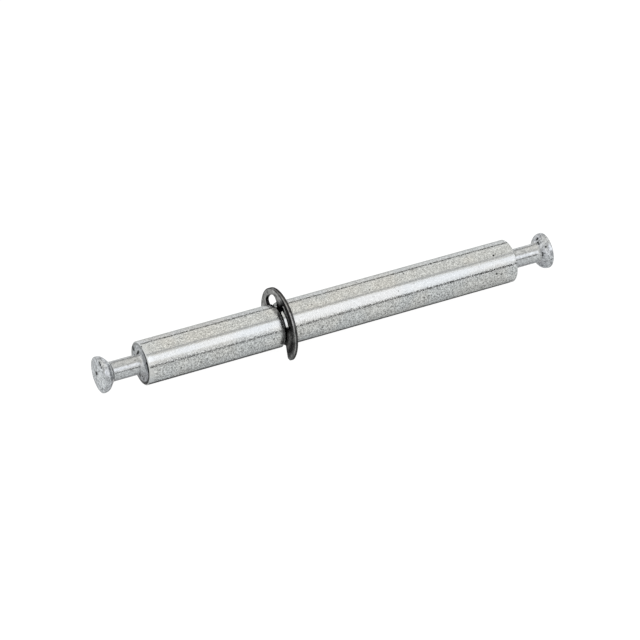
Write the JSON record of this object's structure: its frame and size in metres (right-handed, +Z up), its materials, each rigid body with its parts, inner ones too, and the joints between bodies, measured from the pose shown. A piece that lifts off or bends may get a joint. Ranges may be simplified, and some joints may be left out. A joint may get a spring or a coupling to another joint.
{
  "type": "double cam dowel",
  "caption": "Steel pin with a cam head at each end and a spring clip in a groove: joins two cabinet panels through a middle panel.",
  "frame": {"origin": "middle of the footprint, on the surface that the dowel lies on", "axes": "+X along the dowel towards its long side, +Z up; the clip's mouth faces down and the axis leans about 0.9 degrees down towards +X, as the dowel lies at rest"},
  "size_m": [0.0908, 0.0136, 0.0116],
  "materials": {
    "zinc_plated_steel": "zinc plated, satin",
    "dark_spring_steel": "dark phosphated spring steel"
  },
  "bodies": {
    "root": {"dowel_pin": "zinc_plated_steel", "retaining_clip": "dark_spring_steel"}
  },
  "joints": []
}
